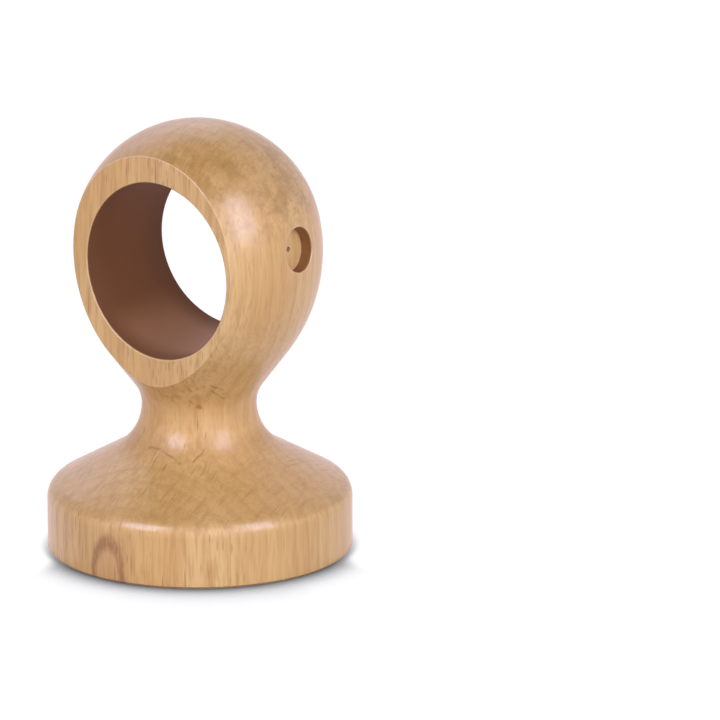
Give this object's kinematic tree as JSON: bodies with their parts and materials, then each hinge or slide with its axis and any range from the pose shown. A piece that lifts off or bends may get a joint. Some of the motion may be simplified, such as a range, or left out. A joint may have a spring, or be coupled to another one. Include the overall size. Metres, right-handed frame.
{
  "type": "curtain pole bracket",
  "caption": "Turned wooden curtain pole bracket: round base, slim cove neck and a ball head with sawn flats, bored crossways for the pole, with a recessed lock screw hole.",
  "frame": {"origin": "centre of the base's flat underside, the face that goes against the wall", "axes": "+Z along the turned axis from the base to the ball head, +X along the pole's bore, the lock screw's recess on the -Y side"},
  "size_m": [0.062, 0.0621, 0.0886],
  "materials": {
    "lacquered_wood": "clear lacquered beech, fine straight grain along the turned axis"
  },
  "bodies": {
    "root": {"turned_bracket": "lacquered_wood"}
  },
  "joints": []
}
